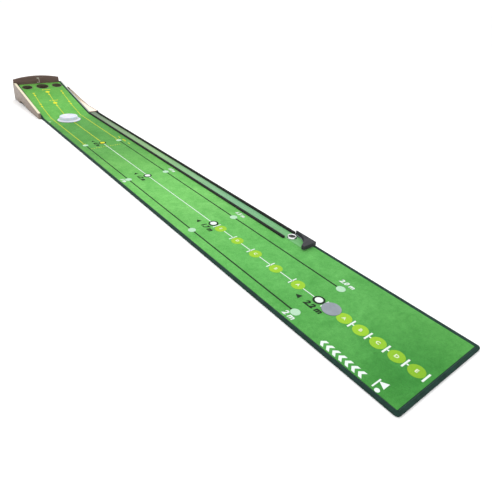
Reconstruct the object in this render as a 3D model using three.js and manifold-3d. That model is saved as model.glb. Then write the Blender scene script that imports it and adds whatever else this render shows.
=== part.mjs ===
// A practice putting mat: a three metre turf mat that climbs a wooden ramp with three holes.
// Holed balls drop onto a tray below the ramp, roll out into a side chute and run back along
// a railed track on the mat to a ball stop beside the player.
// Units are millimetres. +X is to the right and +Y towards the holes, as the player sees it,
// and +Z is up. The origin is on the floor, under the middle of the whole mat.
import * as THREE from 'three';
import { mergeVertices } from 'three/addons/utils/BufferGeometryUtils.js';
import Module from 'manifold-3d';

const wasm = await Module();
wasm.setup();

// ---- driving dimensions ----

const OVERALL_LENGTH = 3000;
const MAT_WIDTH = 324;
const GAP = 0.3; // between pieces that touch
const FREE_GAP = 0.5; // between the mat and the wood around it

// the mat
const BACKING_THICKNESS = 2;
const MAT_THICKNESS = 6;
const BINDING_WIDTH = 11;
const BINDING_PROUD = 1;
const RAMP_BINDING_WIDTH = 9;
const FOLD_RADIUS = 120;

// the wooden base
const BASE_LENGTH = 570;
const BASE_PAST_MAT = 7.5; // how far the base reaches beyond the mat's right edge
const RAMP_ANGLE = THREE.MathUtils.degToRad(10.5);
const FOLD_LEAD = 20; // the turf starts to climb this far in front of the base
const LEFT_PANEL_THICKNESS = 14;
const LEFT_PANEL_FRONT_HEIGHT = 35;
const LEFT_PANEL_BACK_HEIGHT = 117;
const PANEL_CORNER = 5; // how far the corners of the left panel's top are eased
const PANEL_RAKE = 46; // how far the top of a panel's back end leans forward of its foot
const NOTCH = { front: 225, peak: 385, back: 442, height: 20 }; // from the front of the base
const NOTCH_PAD_THICKNESS = 5;
const RIGHT_PANEL_THICKNESS = 6;
const RIGHT_PANEL_LOW_HEIGHT = 12;
const RIGHT_PANEL_BACK_HEIGHT = 60;
const RIGHT_PANEL_LEVEL_LENGTH = 180;
const RIGHT_PANEL_SWEEP = 55; // either side of where the level and the slope would meet
const FOOT_THICKNESS = 2;
const FOOT_RADIUS = 3;
const FOOT_FROM_FRONT = 30;
const FOOT_FROM_BACK = 40;
const CROSS_RAIL_THICKNESS = 12;
const FRONT_CROSS_RAIL_AT = 154; // from the front of the base
const MIDDLE_CROSS_RAIL_AT = 285;
const DECK_THICKNESS = 9;
const DECK_LEAST_HEIGHT = 1;
const DECK_START = 4; // from the front of the base
const HOOK_TAPE_SPACE = 1.2;
const HOOK_TAPE_WIDTH = 25;
const HOOK_TAPE_LENGTH = 300;
const HOOK_TAPE_INSET = 20;
const HOOK_TAPE_START = 40; // from the front of the base

// the backstop
const BACKSTOP_SETBACK = 78; // from the back of the base to the backstop's front face
const BACKSTOP_THICKNESS = 16;
const BACKSTOP_END_HEIGHT = 133.5;
const BACKSTOP_ARCH_RISE = 15.5;

// the holes
const HOLE_SETBACK = 52; // from the backstop's face to the middle of each hole
const HOLE_PITCH = 91;
const RIGHT_HOLE_FROM_RAMP_EDGE = 42;
const CENTRE_HOLE_DIAMETER = 70;
const SIDE_HOLE_DIAMETER = 57;
const HOLE_TURF_MARGIN = 12; // from the centre hole to the start of the turf's last length
const RING_WALL = 1.2;
const RING_FLANGE = 1.2;
const RING_FLANGE_THICKNESS = 1.2;
const RING_SEGMENTS = 48;

// the ball's way back
const BALL_DIAMETER = 42.7;
const CHUTE_WIDTH = 44.5;
const CHUTE_WALL_THICKNESS = 7;
const CHUTE_WALL_PROUD = 3;
const CHUTE_WALL_START = 1; // from the front of the base
const CHUTE_FLOOR_THICKNESS = 3;
const CHUTE_FLOOR_START = 5; // from the front of the base
const CHUTE_BEARERS_AT = [60, 353]; // from the front of the base
const CHUTE_FLOOR_FRONT = 10;
const CHUTE_FLOOR_BACK = 18.5;
const TRAY_THICKNESS = 6;
const TRAY_LOW_EDGE = 19;
const TRAY_FALL = 5;
const TRAY_PAST_HOLE = 6; // how far the tray reaches in front of the centre hole

// the track on the mat
const RAIL_WIDTH = 8.5;
const RAIL_HEIGHT = 8.5;
const RAIL_BORE = 3.5;
const TRACK_GAP = 38.5;
const OUTER_RAIL_INSET = 2.5; // from the mat's right edge
const TAB_SHORT_OF_BASE = 1; // how far in front of the base the mat beside the ramp ends
const TRACK_FRONT_FROM_NEAR_END = 634;
const OUTER_RAIL_SHORT_OF_BASE = 4;
const RAIL_FLARE = 10;
const RAIL_FLARE_LENGTH = 70;
const FILM_THICKNESS = 1;
const REST_RING = { outer: 16, inner: 10.5, height: 5, padHeight: 4, fromRailEnd: 13 };
const STOP = {
  length: 90, width: 53.5, height: 13.5, tip: 12, narrow: 4, hollow: 15, fromRails: 5, padThickness: 1,
};

// the loose pieces
const TARGET = { brim: 62, shoulder: 49.5, height: 22.5, wall: 2, dish: 3, gripWidth: 5, gripHeight: 1 };
const TARGET_FROM_NEAR_END = 2323;
const TARGET_OFF_LINE = -9; // the loose cup lies a little to the left of the putting line
const SPOT = { radius: 26, thickness: 1.2, fromNearEnd: 296 };
const PUTTING_LINE_FROM_MAT_EDGE = 131.5;

// fasteners
const DOWEL = { radius: 4, length: 24 };
const SCREW = { radius: 1.75, head: 4, headHeight: 2.5, intoDeck: 12 };

// ---- places worked out from them ----

const NEAR_END = -OVERALL_LENGTH / 2;
const BACK_END = OVERALL_LENGTH / 2;
const BASE_FRONT = BACK_END - BASE_LENGTH;
const FOLD = BASE_FRONT - FOLD_LEAD;
const BASE_WIDTH = LEFT_PANEL_THICKNESS + FREE_GAP + MAT_WIDTH + BASE_PAST_MAT;
const BASE_LEFT = -BASE_WIDTH / 2;
const BASE_RIGHT = BASE_WIDTH / 2;
const LEFT_INNER = BASE_LEFT + LEFT_PANEL_THICKNESS;
const RIGHT_INNER = BASE_RIGHT - RIGHT_PANEL_THICKNESS;
const MAT_LEFT = LEFT_INNER + FREE_GAP;
const MAT_RIGHT = MAT_LEFT + MAT_WIDTH;
const CHUTE_LEFT = RIGHT_INNER - CHUTE_WIDTH;
const CHUTE_WALL_LEFT = CHUTE_LEFT - CHUTE_WALL_THICKNESS;
const RAMP_RIGHT = CHUTE_WALL_LEFT - FREE_GAP;
const RAMP_SHEET_RIGHT = RAMP_RIGHT - RAMP_BINDING_WIDTH - GAP;
const BACKSTOP_FACE = BACK_END - BACKSTOP_SETBACK;
const BACKSTOP_REAR = BACKSTOP_FACE + BACKSTOP_THICKNESS;
const FOLD_REACH = FOLD_RADIUS * Math.tan(RAMP_ANGLE / 2);
const FOLD_START = FOLD - FOLD_REACH;
const PANEL_FOOT = FOOT_THICKNESS + GAP;
const HOLE_Y = BACKSTOP_FACE - HOLE_SETBACK;
const HOLE_X = [2, 1, 0].map((step) => RAMP_RIGHT - RIGHT_HOLE_FROM_RAMP_EDGE - step * HOLE_PITCH);
const TRAY_BACK = BACKSTOP_FACE - GAP;
const TRAY_FRONT = HOLE_Y - CENTRE_HOLE_DIAMETER / 2 - TRAY_PAST_HOLE;
const PUTTING_LINE = MAT_LEFT + PUTTING_LINE_FROM_MAT_EDGE;
const TARGET_PLACE = [PUTTING_LINE + TARGET_OFF_LINE, NEAR_END + TARGET_FROM_NEAR_END];
const OUTER_RAIL_RIGHT = MAT_RIGHT - OUTER_RAIL_INSET;
const OUTER_RAIL_LEFT = OUTER_RAIL_RIGHT - RAIL_WIDTH;
const INNER_RAIL_RIGHT = OUTER_RAIL_LEFT - TRACK_GAP;
const INNER_RAIL_LEFT = INNER_RAIL_RIGHT - RAIL_WIDTH;
const TRACK_END = NEAR_END + TRACK_FRONT_FROM_NEAR_END;
const BINDING_TOP = MAT_THICKNESS + BINDING_PROUD;
const FILM_TOP = MAT_THICKNESS + GAP + FILM_THICKNESS;

// ---- materials ----

function finish(color, roughness, metalness = 0) {
  return new THREE.MeshStandardMaterial({ color, roughness, metalness });
}

const ASH = finish(0xa8988a, 0.6);
const WALNUT = finish(0x5a4a40, 0.5);
const PLYWOOD = finish(0xdcc6a2, 0.6);
const GREY_BOARD = finish(0x9aa09a, 0.7);
const BEECH = finish(0xd8b98c, 0.6);
const TURF = finish(0x6cb65c, 0.95);
const RUBBER = finish(0x1a1d1b, 0.9);
const BINDING = finish(0x10301f, 0.9);
const CUP_PLASTIC = finish(0x1c261e, 0.45);
const FROSTED = finish(0xe2e2f0, 0.35);
const FILM = finish(0x9db8a2, 0.35);
const CHARCOAL = finish(0x45484c, 0.6);
const GREY_RUBBER = finish(0x9aa2aa, 0.8);
const STEEL = finish(0xb8bcc0, 0.35, 0.9);
const HOOK_TAPE = finish(0x202020, 0.95);

// ---- solids ----

function solid(geometry) {
  const bare = geometry.clone();
  bare.deleteAttribute('normal');
  bare.deleteAttribute('uv');
  const merged = mergeVertices(bare, 1e-4);
  return new wasm.Manifold(new wasm.Mesh({
    numProp: 3,
    vertProperties: new Float32Array(merged.attributes.position.array),
    triVerts: new Uint32Array(merged.index.array),
  }));
}

function geometryOf(manifold) {
  const result = manifold.getMesh();
  const geometry = new THREE.BufferGeometry();
  geometry.setAttribute('position', new THREE.BufferAttribute(result.vertProperties, 3));
  geometry.setIndex(new THREE.BufferAttribute(result.triVerts, 1));
  geometry.computeVertexNormals();
  return geometry;
}

function cut(body, ...tools) {
  return geometryOf(tools.reduce((rest, tool) => rest.subtract(solid(tool)), solid(body)));
}

function join(first, ...others) {
  return geometryOf(others.reduce((whole, part) => whole.add(solid(part)), solid(first)));
}

function box(x0, x1, y0, y1, z0, z1) {
  const geometry = new THREE.BoxGeometry(x1 - x0, y1 - y0, z1 - z0);
  return geometry.translate((x0 + x1) / 2, (y0 + y1) / 2, (z0 + z1) / 2);
}

function outline(points) {
  return new THREE.Shape(points.map(([a, b]) => new THREE.Vector2(a, b)));
}

// A shape pushed along +Z from zero, with its edges eased by a small chamfer.
function extrude(shape, depth, ease = 0, steps = 1) {
  const geometry = new THREE.ExtrudeGeometry(shape, {
    depth: depth - 2 * ease,
    steps,
    bevelEnabled: ease > 0,
    bevelThickness: ease,
    bevelSize: ease,
    bevelOffset: -ease,
    bevelSegments: 2,
    curveSegments: 10,
  });
  return geometry.translate(0, 0, ease);
}

// A side view, in Y and Z, pushed along X.
function sideways(shape, x0, x1, ease = 0) {
  const turn = new THREE.Matrix4().makeBasis(
    new THREE.Vector3(0, 1, 0), new THREE.Vector3(0, 0, 1), new THREE.Vector3(1, 0, 0));
  return extrude(shape, x1 - x0, ease).applyMatrix4(turn).translate(x0, 0, 0);
}

// A front view, in X and Z, pushed along +Y.
function endways(shape, y0, y1, ease = 0, steps = 1) {
  const turn = new THREE.Matrix4().makeBasis(
    new THREE.Vector3(1, 0, 0), new THREE.Vector3(0, 0, 1), new THREE.Vector3(0, -1, 0));
  return extrude(shape, y1 - y0, ease, steps).applyMatrix4(turn).translate(0, y1, 0);
}

// A turned piece about +Z, from a closed profile of radius and height.
function turned(profile, segments = 48) {
  const points = [...profile, profile[0]].map(([r, z]) => new THREE.Vector2(r, z));
  return new THREE.LatheGeometry(points, segments).rotateX(Math.PI / 2);
}

function rod(radius, length, segments = 24) {
  return new THREE.CylinderGeometry(radius, radius, length, segments);
}

const mat = new THREE.Group();

function add(name, geometry, material) {
  const mesh = new THREE.Mesh(geometry, material);
  mesh.name = name;
  mat.add(mesh);
  return mesh;
}

// ---- the line that the top of the turf follows ----

const SLOPE = Math.tan(RAMP_ANGLE);
const turfTop = (y) => MAT_THICKNESS + (y - FOLD) * SLOPE;
const below = (depth) => depth / Math.cos(RAMP_ANGLE);

function turfLine(to) {
  const steps = 8;
  const line = [];
  for (let i = 0; i <= steps; i++) {
    const tilt = (RAMP_ANGLE * i) / steps;
    line.push({
      y: FOLD_START + FOLD_RADIUS * Math.sin(tilt),
      z: MAT_THICKNESS + FOLD_RADIUS * (1 - Math.cos(tilt)),
      tilt,
    });
  }
  line.push({ y: to, z: turfTop(to), tilt: RAMP_ANGLE });
  return line;
}

// A layer of the mat from the fold up the ramp, between two depths below the top of the turf.
function rampLayer(to, top, bottom, x0, x1) {
  const line = turfLine(to);
  const at = (depth) => line.map(({ y, z, tilt }, i) => {
    const last = i === line.length - 1;
    if (last) return [y, z - below(depth)];
    return [y + depth * Math.sin(tilt), z - depth * Math.cos(tilt)];
  });
  return sideways(outline([...at(bottom), ...at(top).reverse()]), x0, x1);
}

// ---- wooden base ----

// The notch in the left panel's foot, from the front to the back, drawn smaller by a gap.
function traceNotch(shape, gap) {
  const [front, peak, back] = [NOTCH.front, NOTCH.peak, NOTCH.back].map((at) => BASE_FRONT + at);
  const top = NOTCH.height - gap;
  shape.lineTo(front + 8 * gap, PANEL_FOOT);
  shape.quadraticCurveTo((front + peak) / 2, top * 0.72 - gap, peak, top);
  shape.quadraticCurveTo(back - gap, top, back - gap, PANEL_FOOT);
}

function leftPanel() {
  const shape = new THREE.Shape();
  const rise = (LEFT_PANEL_BACK_HEIGHT - LEFT_PANEL_FRONT_HEIGHT) / (BASE_LENGTH - PANEL_RAKE);
  const top = (y) => LEFT_PANEL_FRONT_HEIGHT + (y - BASE_FRONT) * rise;
  const backTop = BACK_END - PANEL_RAKE;
  shape.moveTo(BASE_FRONT, PANEL_FOOT);
  traceNotch(shape, 0);
  shape.lineTo(BACK_END, PANEL_FOOT);
  shape.lineTo(backTop + PANEL_CORNER / 2, top(backTop) - PANEL_CORNER);
  shape.quadraticCurveTo(
    backTop, top(backTop), backTop - PANEL_CORNER, top(backTop - PANEL_CORNER));
  shape.lineTo(BASE_FRONT + PANEL_CORNER, top(BASE_FRONT + PANEL_CORNER));
  shape.quadraticCurveTo(
    BASE_FRONT, top(BASE_FRONT), BASE_FRONT, top(BASE_FRONT) - PANEL_CORNER);
  shape.closePath();
  return shape;
}

function rightPanel() {
  const shape = new THREE.Shape();
  const level = BASE_FRONT + RIGHT_PANEL_LEVEL_LENGTH;
  const backTop = BACK_END - (PANEL_RAKE * RIGHT_PANEL_BACK_HEIGHT) / LEFT_PANEL_BACK_HEIGHT;
  const rise = (RIGHT_PANEL_BACK_HEIGHT - RIGHT_PANEL_LOW_HEIGHT) / (backTop - level);
  const sweep = RIGHT_PANEL_SWEEP;
  shape.moveTo(BASE_FRONT, PANEL_FOOT);
  shape.lineTo(BACK_END, PANEL_FOOT);
  shape.lineTo(backTop, RIGHT_PANEL_BACK_HEIGHT);
  shape.lineTo(level + sweep, RIGHT_PANEL_LOW_HEIGHT + sweep * rise);
  shape.quadraticCurveTo(level, RIGHT_PANEL_LOW_HEIGHT, level - sweep, RIGHT_PANEL_LOW_HEIGHT);
  shape.lineTo(BASE_FRONT, RIGHT_PANEL_LOW_HEIGHT);
  shape.closePath();
  return shape;
}

function notchPad() {
  const shape = new THREE.Shape();
  shape.moveTo(BASE_FRONT + NOTCH.back - GAP, PANEL_FOOT);
  traceNotch(shape, GAP);
  return shape;
}

const crossRails = [
  { name: 'front_cross_rail', y: BASE_FRONT + FRONT_CROSS_RAIL_AT },
  { name: 'middle_cross_rail', y: BASE_FRONT + MIDDLE_CROSS_RAIL_AT },
];
const deckBottom = (y) => turfTop(y) - below(MAT_THICKNESS + HOOK_TAPE_SPACE + DECK_THICKNESS);
const dowelHeight = (rail) => (PANEL_FOOT + deckBottom(rail.y)) / 2;

function dowelHoles(radius, length) {
  return crossRails.map((rail) =>
    rod(radius, length).rotateZ(Math.PI / 2).translate(LEFT_INNER, rail.y, dowelHeight(rail)));
}

add('left_side_panel',
  cut(sideways(leftPanel(), BASE_LEFT, LEFT_INNER, 1),
    ...dowelHoles(DOWEL.radius + GAP, DOWEL.length + 2 * GAP)), ASH);
add('notch_pad', sideways(notchPad(), LEFT_INNER - NOTCH_PAD_THICKNESS, LEFT_INNER), RUBBER);
add('right_side_panel', sideways(rightPanel(), RIGHT_INNER, BASE_RIGHT, 0.8), ASH);

for (const rail of crossRails) {
  const y0 = rail.y - CROSS_RAIL_THICKNESS / 2;
  const y1 = rail.y + CROSS_RAIL_THICKNESS / 2;
  const shape = outline([
    [y0, PANEL_FOOT], [y1, PANEL_FOOT], [y1, deckBottom(y1) - GAP], [y0, deckBottom(y0) - GAP],
  ]);
  const body = sideways(shape, LEFT_INNER + GAP, CHUTE_WALL_LEFT - GAP);
  add(rail.name, cut(body, ...dowelHoles(DOWEL.radius + GAP, DOWEL.length + 2 * GAP)), BEECH);
}

crossRails.forEach((rail, i) => {
  const dowel = add(`dowel_${i + 1}`, rod(DOWEL.radius, DOWEL.length), BEECH);
  dowel.rotation.z = Math.PI / 2;
  dowel.position.set(LEFT_INNER, rail.y, dowelHeight(rail));
});

// ---- ramp deck, with a hole for each cup ----

const holes = [
  { name: 'left_cup_ring', x: HOLE_X[0], diameter: SIDE_HOLE_DIAMETER },
  { name: 'centre_cup_ring', x: HOLE_X[1], diameter: CENTRE_HOLE_DIAMETER },
  { name: 'right_cup_ring', x: HOLE_X[2], diameter: SIDE_HOLE_DIAMETER },
];

function holeTools() {
  const length = 4 * (MAT_THICKNESS + DECK_THICKNESS);
  return holes.map(({ x, diameter }) =>
    rod(diameter / 2 + RING_WALL + GAP, length, RING_SEGMENTS)
      .rotateX(Math.PI / 2 + RAMP_ANGLE)
      .translate(x, HOLE_Y, turfTop(HOLE_Y)));
}

function deckOutline() {
  const depth = MAT_THICKNESS + HOOK_TAPE_SPACE;
  const top = (y) => turfTop(y) - below(depth);
  const front = BASE_FRONT + DECK_START;
  const back = BACKSTOP_FACE - GAP;
  const levelEnd = FOLD + (DECK_LEAST_HEIGHT - MAT_THICKNESS + below(depth + DECK_THICKNESS)) / SLOPE;
  return outline([
    [front, DECK_LEAST_HEIGHT], [levelEnd, DECK_LEAST_HEIGHT], [back, deckBottom(back)],
    [back, top(back)], [front, top(front)],
  ]);
}

const SCREW_X = [-1.25, -0.5, 0.5, 1.25].map((step) => HOLE_X[1] + step * HOLE_PITCH);
const SCREW_Z = deckBottom(BACKSTOP_FACE - SCREW.intoDeck / 2) + below(DECK_THICKNESS) / 2;

function screwHoles(radius) {
  const length = SCREW.intoDeck + BACKSTOP_THICKNESS + 2;
  return SCREW_X.map((x) =>
    rod(radius, length).translate(x, BACKSTOP_REAR + 1 - length / 2 + GAP, SCREW_Z));
}

add('ramp_deck',
  cut(sideways(deckOutline(), LEFT_INNER + GAP, RAMP_RIGHT), ...holeTools(),
    ...screwHoles(SCREW.radius + GAP)), PLYWOOD);

for (const { name, x, diameter } of holes) {
  const r = diameter / 2;
  const sleeve = MAT_THICKNESS + HOOK_TAPE_SPACE + DECK_THICKNESS;
  const ring = add(name, turned([
    [r, -sleeve], [r + RING_WALL, -sleeve], [r + RING_WALL, GAP], [r + RING_WALL + RING_FLANGE, GAP],
    [r + RING_WALL + RING_FLANGE, GAP + RING_FLANGE_THICKNESS / 2],
    [r + RING_WALL, GAP + RING_FLANGE_THICKNESS], [r, GAP + RING_FLANGE_THICKNESS],
  ], RING_SEGMENTS), CUP_PLASTIC);
  ring.position.set(x, HOLE_Y, turfTop(HOLE_Y));
  ring.rotation.x = RAMP_ANGLE;
}

// ---- backstop: it stands on the floor between the panels, and its left ear lies on the panel ----

function backstopOutline() {
  const rise = (LEFT_PANEL_BACK_HEIGHT - LEFT_PANEL_FRONT_HEIGHT) / (BASE_LENGTH - PANEL_RAKE);
  const ear = LEFT_PANEL_FRONT_HEIGHT + (BACKSTOP_REAR - BASE_FRONT) * rise + GAP;
  const half = (RAMP_SHEET_RIGHT - BASE_LEFT) / 2;
  const radius = (half * half + BACKSTOP_ARCH_RISE ** 2) / (2 * BACKSTOP_ARCH_RISE);
  const spread = Math.asin(half / radius);
  const middle = BASE_LEFT + half;
  const shape = new THREE.Shape();
  shape.moveTo(LEFT_INNER + GAP, PANEL_FOOT);
  shape.lineTo(RAMP_SHEET_RIGHT, PANEL_FOOT);
  shape.lineTo(RAMP_SHEET_RIGHT, BACKSTOP_END_HEIGHT);
  const centre = BACKSTOP_END_HEIGHT + BACKSTOP_ARCH_RISE - radius;
  shape.absarc(middle, centre, radius, Math.PI / 2 - spread, Math.PI / 2 + spread, false);
  shape.lineTo(BASE_LEFT, ear);
  shape.lineTo(LEFT_INNER + GAP, ear);
  shape.closePath();
  return shape;
}

add('backstop_board',
  cut(endways(backstopOutline(), BACKSTOP_FACE, BACKSTOP_REAR, 1),
    ...screwHoles(SCREW.radius + GAP)), WALNUT);

SCREW_X.forEach((x, i) => {
  const shank = SCREW.intoDeck + BACKSTOP_THICKNESS;
  const screw = add(`backstop_screw_${i + 1}`, turned([
    [0, 0], [SCREW.radius, 0], [SCREW.radius, shank], [SCREW.head, shank],
    [SCREW.head * 0.8, shank + SCREW.headHeight * 0.8], [0, shank + SCREW.headHeight],
  ], 20), STEEL);
  screw.rotation.x = -Math.PI / 2;
  screw.position.set(x, BACKSTOP_REAR + GAP - shank, SCREW_Z);
});

// ---- below the deck: the tray, its wall, the chute ----

function trayOutline() {
  const left = LEFT_INNER + GAP;
  const right = CHUTE_LEFT - 2 * GAP;
  const low = TRAY_LOW_EDGE;
  return outline([
    [left, low + TRAY_FALL - TRAY_THICKNESS], [right, low - TRAY_THICKNESS],
    [right, low], [left, low + TRAY_FALL],
  ]);
}

const window0 = TRAY_FRONT - FREE_GAP;
const window1 = TRAY_BACK;
add('ball_tray', endways(trayOutline(), TRAY_FRONT, TRAY_BACK), BEECH);
add('tray_front_wall', box(
  LEFT_INNER + GAP, CHUTE_WALL_LEFT - GAP, TRAY_FRONT - GAP - TRAY_THICKNESS, TRAY_FRONT - GAP,
  PANEL_FOOT, deckBottom(TRAY_FRONT - GAP - TRAY_THICKNESS) - GAP), BEECH);

function chuteWall() {
  const top = (y) => turfTop(y) + CHUTE_WALL_PROUD;
  const front = BASE_FRONT + CHUTE_WALL_START;
  const back = BACKSTOP_REAR;
  const lintel = TRAY_LOW_EDGE + BALL_DIAMETER + 4;
  return outline([
    [front, PANEL_FOOT], [window0, PANEL_FOOT], [window0, lintel], [window1, lintel],
    [window1, PANEL_FOOT], [back, PANEL_FOOT], [back, top(back)], [front, top(front)],
  ]);
}

add('chute_inner_wall', sideways(chuteWall(), CHUTE_WALL_LEFT, CHUTE_LEFT, 0.6), GREY_BOARD);

const chuteFloorFront = BASE_FRONT + CHUTE_FLOOR_START;
const chuteFall = (CHUTE_FLOOR_BACK - CHUTE_FLOOR_FRONT) / (BACKSTOP_REAR - chuteFloorFront);
const chuteFloorTop = (y) => CHUTE_FLOOR_FRONT + (y - chuteFloorFront) * chuteFall;

// A side view from y0 to y1 whose top follows the chute floor's top at a depth below it.
function underChute(y0, y1, depth, bottom) {
  return outline([
    [y0, bottom(y0)], [y1, bottom(y1)], [y1, chuteFloorTop(y1) - depth], [y0, chuteFloorTop(y0) - depth],
  ]);
}

add('chute_floor', sideways(
  underChute(chuteFloorFront, BACKSTOP_REAR, 0, (y) => chuteFloorTop(y) - CHUTE_FLOOR_THICKNESS),
  CHUTE_LEFT + GAP, RIGHT_INNER - GAP), PLYWOOD);
add('chute_end_block', box(
  CHUTE_LEFT + GAP, RIGHT_INNER - GAP, BACKSTOP_REAR - BACKSTOP_THICKNESS, BACKSTOP_REAR,
  CHUTE_FLOOR_BACK + GAP, CHUTE_FLOOR_BACK + BALL_DIAMETER), WALNUT);
for (const [i, at] of CHUTE_BEARERS_AT.entries()) {
  const y = BASE_FRONT + at;
  add(`chute_floor_bearer_${i + 1}`, sideways(
    underChute(y, y + CROSS_RAIL_THICKNESS, CHUTE_FLOOR_THICKNESS + GAP, () => PANEL_FOOT),
    CHUTE_LEFT + GAP, RIGHT_INNER - GAP), BEECH);
}

// ---- rubber feet under the side panels ----

const footPlaces = [
  ['left_front_foot', (BASE_LEFT + LEFT_INNER) / 2, BASE_FRONT + FOOT_FROM_FRONT],
  ['left_back_foot', (BASE_LEFT + LEFT_INNER) / 2, BACK_END - FOOT_FROM_BACK],
  ['right_front_foot', (BASE_RIGHT + RIGHT_INNER) / 2, BASE_FRONT + FOOT_FROM_FRONT],
  ['right_back_foot', (BASE_RIGHT + RIGHT_INNER) / 2, BACK_END - FOOT_FROM_BACK],
];
for (const [name, x, y] of footPlaces) {
  const foot = add(name, rod(FOOT_RADIUS, FOOT_THICKNESS), RUBBER);
  foot.rotation.x = Math.PI / 2;
  foot.position.set(x, y, FOOT_THICKNESS / 2);
}

// ---- the mat ----

const sheetLeft = MAT_LEFT + BINDING_WIDTH + GAP;
const sheetRight = MAT_RIGHT - BINDING_WIDTH - GAP;
const sheetNear = NEAR_END + BINDING_WIDTH + GAP;
const sheetBack = BACKSTOP_FACE - FREE_GAP;
const tabLeft = RAMP_RIGHT + FREE_GAP;
const tabEnd = BASE_FRONT - TAB_SHORT_OF_BASE;

// The mat is one length of turf on a rubber backing. Each layer is drawn in two lengths that
// meet where the fold starts: the one on the floor, and the one on the ramp with the cup holes.
function floorSheet(top, bottom) {
  const z0 = MAT_THICKNESS - bottom;
  const z1 = MAT_THICKNESS - top;
  return join(
    box(sheetLeft, sheetRight, sheetNear, FOLD_START - GAP, z0, z1),
    box(tabLeft, sheetRight, FOLD_START - 1, tabEnd, z0, z1));
}

function rampSheet(to, top, bottom) {
  return rampLayer(to, top, bottom, sheetLeft, RAMP_SHEET_RIGHT);
}

const backingDepths = [MAT_THICKNESS - BACKING_THICKNESS, MAT_THICKNESS];
const turfDepths = [0, MAT_THICKNESS - BACKING_THICKNESS - GAP];
add('rubber_backing', floorSheet(...backingDepths), RUBBER);
add('ramp_backing', cut(rampSheet(sheetBack, ...backingDepths), ...holeTools()), RUBBER);

// The turf is one sheet, given in three lengths: on the floor, up the ramp and round the holes.
const holeTurfFront = HOLE_Y - CENTRE_HOLE_DIAMETER / 2 - HOLE_TURF_MARGIN;
const belowHoles = box(
  sheetLeft - GAP, RAMP_SHEET_RIGHT + GAP, FOLD_START - GAP, holeTurfFront, 0, BACKSTOP_END_HEIGHT);
add('putting_turf', floorSheet(...turfDepths), TURF);
add('ramp_turf', rampSheet(holeTurfFront - GAP, ...turfDepths), TURF);
add('hole_turf', cut(rampSheet(sheetBack, ...turfDepths), belowHoles, ...holeTools()), TURF);

// The binding goes up one long edge from the near end, and down the other.
const bindingShape = outline([
  [MAT_LEFT, NEAR_END], [MAT_RIGHT, NEAR_END], [MAT_RIGHT, tabEnd],
  [MAT_RIGHT - BINDING_WIDTH, tabEnd], [MAT_RIGHT - BINDING_WIDTH, NEAR_END + BINDING_WIDTH],
  [MAT_LEFT + BINDING_WIDTH, NEAR_END + BINDING_WIDTH], [MAT_LEFT + BINDING_WIDTH, FOLD_START - GAP],
  [MAT_LEFT, FOLD_START - GAP],
]);
add('edge_binding', extrude(bindingShape, BINDING_TOP, 1.2), BINDING);
add('ramp_edge_binding', rampLayer(
  BACKSTOP_REAR, -BINDING_PROUD, MAT_THICKNESS, RAMP_SHEET_RIGHT + GAP, RAMP_RIGHT), BINDING);
add('ramp_left_binding', rampLayer(
  sheetBack, -BINDING_PROUD, MAT_THICKNESS, MAT_LEFT, MAT_LEFT + BINDING_WIDTH), BINDING);

for (const [i, x] of [
  MAT_LEFT + HOOK_TAPE_INSET, RAMP_SHEET_RIGHT - HOOK_TAPE_INSET - HOOK_TAPE_WIDTH,
].entries()) {
  const tape = add(`hook_tape_${i + 1}`, box(
    0, HOOK_TAPE_WIDTH, 0, HOOK_TAPE_LENGTH, GAP, HOOK_TAPE_SPACE - GAP), HOOK_TAPE);
  const start = BASE_FRONT + HOOK_TAPE_START;
  tape.position.set(x, start, turfTop(start) - below(MAT_THICKNESS + HOOK_TAPE_SPACE));
  tape.rotation.x = RAMP_ANGLE;
}

// ---- ball-return track on the mat ----

// A rail's end view: a flat foot, a rounded crown and a bore right through it.
function railOutline() {
  const r = RAIL_WIDTH / 2;
  const shape = new THREE.Shape();
  shape.moveTo(-r, 0);
  shape.lineTo(r, 0);
  shape.lineTo(r, RAIL_HEIGHT - r);
  shape.absarc(0, RAIL_HEIGHT - r, r, 0, Math.PI, false);
  shape.closePath();
  const bore = new THREE.Path();
  bore.absarc(0, RAIL_HEIGHT / 2, RAIL_BORE / 2, 0, 2 * Math.PI, true);
  shape.holes.push(bore);
  return shape;
}

add('inner_rail',
  endways(railOutline(), TRACK_END, FOLD_START - GAP)
    .translate((INNER_RAIL_LEFT + INNER_RAIL_RIGHT) / 2, 0, MAT_THICKNESS + GAP), RUBBER);

// The outer rail turns outwards at its far end, so the chute's ball is led between the rails.
function outerRail() {
  const end = BASE_FRONT - OUTER_RAIL_SHORT_OF_BASE;
  const bend = end - RAIL_FLARE_LENGTH;
  const flare = endways(railOutline(), bend, end, 0, 5);
  const places = flare.attributes.position;
  for (let i = 0; i < places.count; i++) {
    const share = (places.getY(i) - bend) / RAIL_FLARE_LENGTH;
    places.setX(i, places.getX(i) + RAIL_FLARE * share * share);
  }
  return join(endways(railOutline(), TRACK_END, bend), flare);
}

add('outer_rail',
  outerRail().translate((OUTER_RAIL_LEFT + OUTER_RAIL_RIGHT) / 2, 0, BINDING_TOP + GAP), RUBBER);

const trackMiddle = (INNER_RAIL_RIGHT + OUTER_RAIL_LEFT) / 2;
const filmRight = OUTER_RAIL_LEFT - GAP;
add('track_film', box(
  INNER_RAIL_RIGHT + GAP, filmRight, TRACK_END - STOP.length, tabEnd,
  MAT_THICKNESS + GAP, FILM_TOP), FILM);

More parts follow.
